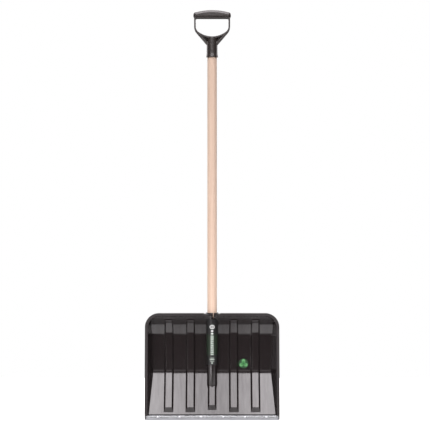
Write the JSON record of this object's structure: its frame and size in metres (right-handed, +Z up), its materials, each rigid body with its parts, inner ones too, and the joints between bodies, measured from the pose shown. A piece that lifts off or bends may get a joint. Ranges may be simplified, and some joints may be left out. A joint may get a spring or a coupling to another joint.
{
  "type": "snow shovel",
  "caption": "Wide moulded pan with a folded metal scraping edge, on a long wooden shaft with a D-shaped grip, for pushing and lifting snow.",
  "frame": {"origin": "middle of the flat bottom of the scraping edge", "axes": "+Z up the shaft, +X across the pan, and the pan's working face looks towards -Y"},
  "size_m": [0.45, 0.0855, 1.374],
  "materials": {
    "blade_plastic": "satin-gloss moulded black",
    "strip_aluminium": "rolled, lightly brushed",
    "rivet_aluminium": "set flush",
    "shaft_wood": "turned and sanded, clear matt",
    "grip_plastic": "fine moulded texture",
    "screw_steel": "zinc plated",
    "label_film": "printed film",
    "sticker_film": "printed film"
  },
  "bodies": {
    "root": {"blade": "blade_plastic", "edge_strip": "strip_aluminium", "edge_rivets": "rivet_aluminium", "shaft": "shaft_wood", "d_grip": "grip_plastic", "socket_screw": "screw_steel", "grip_screw": "screw_steel", "socket_label": "label_film", "round_sticker": "sticker_film"}
  },
  "joints": []
}
